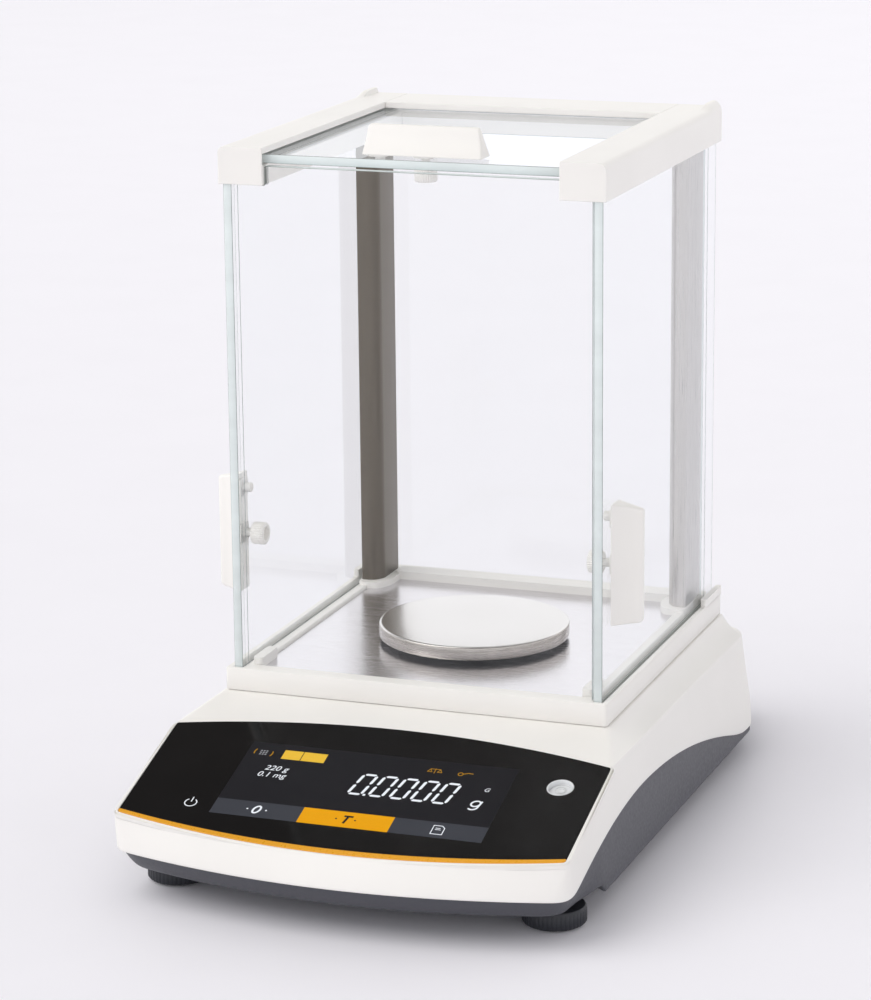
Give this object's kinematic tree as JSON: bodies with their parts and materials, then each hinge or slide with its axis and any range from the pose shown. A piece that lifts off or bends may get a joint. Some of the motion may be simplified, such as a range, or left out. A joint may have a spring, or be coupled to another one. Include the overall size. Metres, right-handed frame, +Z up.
{
  "type": "analytical balance",
  "caption": "Laboratory balance with a sloping touch display and a glass draft shield whose side and top panes slide back over a round steel weighing pan.",
  "frame": {"origin": "on the bench, under the middle of the balance's outline", "axes": "+X to the user's right, +Y to the back of the balance, +Z up"},
  "size_m": [0.216, 0.36, 0.3301],
  "materials": {
    "white_plastic": "fine satin moulding",
    "slate_plastic": "fine matt moulding",
    "black_glass": "polished black",
    "amber_band": "satin amber",
    "screen": "dark display glass",
    "circuit_board": "solder mask",
    "chip_black": "moulded epoxy",
    "vial_clear": "clear, with a bubble",
    "clear_glass": "clear float glass with polished edges",
    "pan_steel": "fine brushed",
    "floor_steel": "fine brushed",
    "post_aluminium": "satin anodised",
    "cast_aluminium": "cast and milled",
    "machine_steel": "bright zinc",
    "spring_metal": "rolled strip",
    "brass_metal": "turned",
    "copper_winding": "enamelled wire",
    "dark_rubber": "matt",
    "foot_plastic": "ribbed, matt"
  },
  "bodies": {
    "balance": {"lower_casing": "slate_plastic", "upper_casing": "white_plastic", "casing_screws": "machine_steel", "display_glass": "black_glass", "accent_stripe": "amber_band", "display_module": "screen", "display_board": "circuit_board", "level_cup": "white_plastic", "level_vial": "vial_clear", "shield_plinth": "white_plastic", "plinth_screws": "machine_steel", "floor_plate": "floor_steel", "post_left": "post_aluminium", "post_right": "post_aluminium", "rail_left": "white_plastic", "rail_right": "white_plastic", "frame_screws": "machine_steel", "rear_crossbar": "white_plastic", "front_pane": "clear_glass", "rear_pane": "clear_glass", "chassis_plate": "cast_aluminium", "chassis_mounts": "dark_rubber", "cell_frame": "cast_aluminium", "cell_carrier": "cast_aluminium", "cell_pin": "machine_steel", "upper_flexure": "spring_metal", "lower_flexure": "spring_metal", "cell_lever": "cast_aluminium", "force_coil": "copper_winding", "magnet_cup": "machine_steel", "position_sensor": "chip_black", "calibration_weights": "brass_metal", "weight_lifter": "cast_aluminium", "lift_motor": "machine_steel", "main_board": "circuit_board", "board_components": "chip_black", "board_posts": "slate_plastic", "power_socket": "chip_black", "usb_socket": "machine_steel", "serial_socket": "machine_steel", "foot_bushes": "brass_metal", "rear_feet": "dark_rubber"},
    "left_door": {"left_pane": "clear_glass", "left_handle": "white_plastic"},
    "left_screw": {"left_thumb_screw": "white_plastic"},
    "right_door": {"right_pane": "clear_glass", "right_handle": "white_plastic"},
    "right_screw": {"right_thumb_screw": "white_plastic"},
    "top_door": {"top_pane": "clear_glass", "top_handle": "white_plastic"},
    "top_screw": {"top_thumb_screw": "white_plastic"},
    "pan_carrier": {"pan_support": "cast_aluminium"},
    "weighing_pan": {"pan": "pan_steel"},
    "left_foot": {"front_left_foot": "foot_plastic", "front_left_stud": "machine_steel", "front_left_pad": "dark_rubber"},
    "right_foot": {"front_right_foot": "foot_plastic", "front_right_stud": "machine_steel", "front_right_pad": "dark_rubber"}
  },
  "joints": [
    {"name": "left_door_slide", "type": "slide", "parent": "balance", "child": "left_door", "axis": [0, 1, 0], "range_m": [0, 0.13]},
    {"name": "right_door_slide", "type": "slide", "parent": "balance", "child": "right_door", "axis": [0, 1, 0], "range_m": [0, 0.13]},
    {"name": "top_door_slide", "type": "slide", "parent": "balance", "child": "top_door", "axis": [0, 1, 0], "range_m": [0, 0.13]},
    {"name": "left_screw_turn", "type": "hinge", "parent": "left_door", "child": "left_screw", "pos_m": [-0.0844, -0.0465, 0.139], "axis": [-1, 0, 0], "range_deg": [-1080, 0]},
    {"name": "right_screw_turn", "type": "hinge", "parent": "right_door", "child": "right_screw", "pos_m": [0.0844, -0.0465, 0.139], "axis": [1, 0, 0], "range_deg": [-1080, 0]},
    {"name": "top_screw_turn", "type": "hinge", "parent": "top_door", "child": "top_screw", "pos_m": [0.0021, -0.0465, 0.3125], "axis": [0, 0, 1], "range_deg": [-1080, 0]},
    {"name": "carrier_lift", "type": "slide", "parent": "balance", "child": "pan_carrier", "axis": [0, 0, 1], "range_m": [0, 0.05]},
    {"name": "pan_lift", "type": "slide", "parent": "pan_carrier", "child": "weighing_pan", "axis": [0, 0, 1], "range_m": [0, 0.08]},
    {"name": "left_foot_turn", "type": "hinge", "parent": "balance", "child": "left_foot", "pos_m": [-0.0883, -0.1304, 0], "axis": [0, 0, 1], "range_deg": [-720, 720]},
    {"name": "right_foot_turn", "type": "hinge", "parent": "balance", "child": "right_foot", "pos_m": [0.0883, -0.1304, 0], "axis": [0, 0, 1], "range_deg": [-720, 720]}
  ]
}
